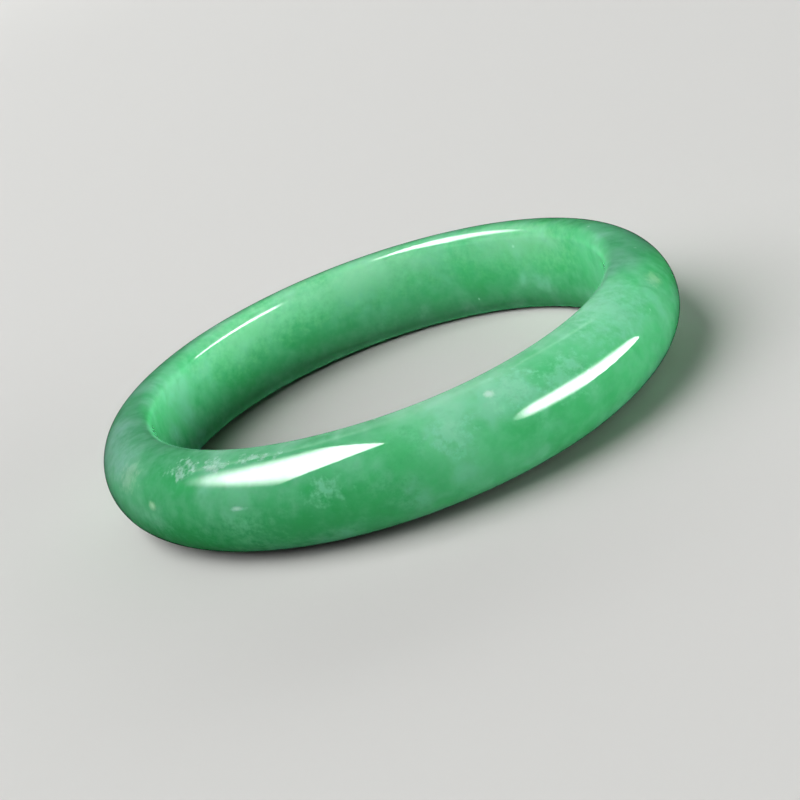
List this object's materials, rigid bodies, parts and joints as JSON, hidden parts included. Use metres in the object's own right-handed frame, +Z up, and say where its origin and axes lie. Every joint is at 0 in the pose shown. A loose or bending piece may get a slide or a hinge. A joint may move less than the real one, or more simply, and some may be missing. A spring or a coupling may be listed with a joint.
{
  "type": "bangle bracelet",
  "caption": "Closed one-piece polished stone bangle: flat inner wall, half-round outside and softly rounded rims, worn over the hand on the wrist.",
  "frame": {"origin": "centre of the wrist opening, at half of the band's width", "axes": "+Z along the ring's axis; the ring lies flat on either rim with +Z up, and is the same turned any way about Z"},
  "size_m": [0.0732, 0.0732, 0.012],
  "materials": {
    "jade": "mirror-polished translucent green jade with pale cloudy patches, fine fibres and a few white flecks"
  },
  "bodies": {
    "root": {"bangle": "jade"}
  },
  "joints": []
}
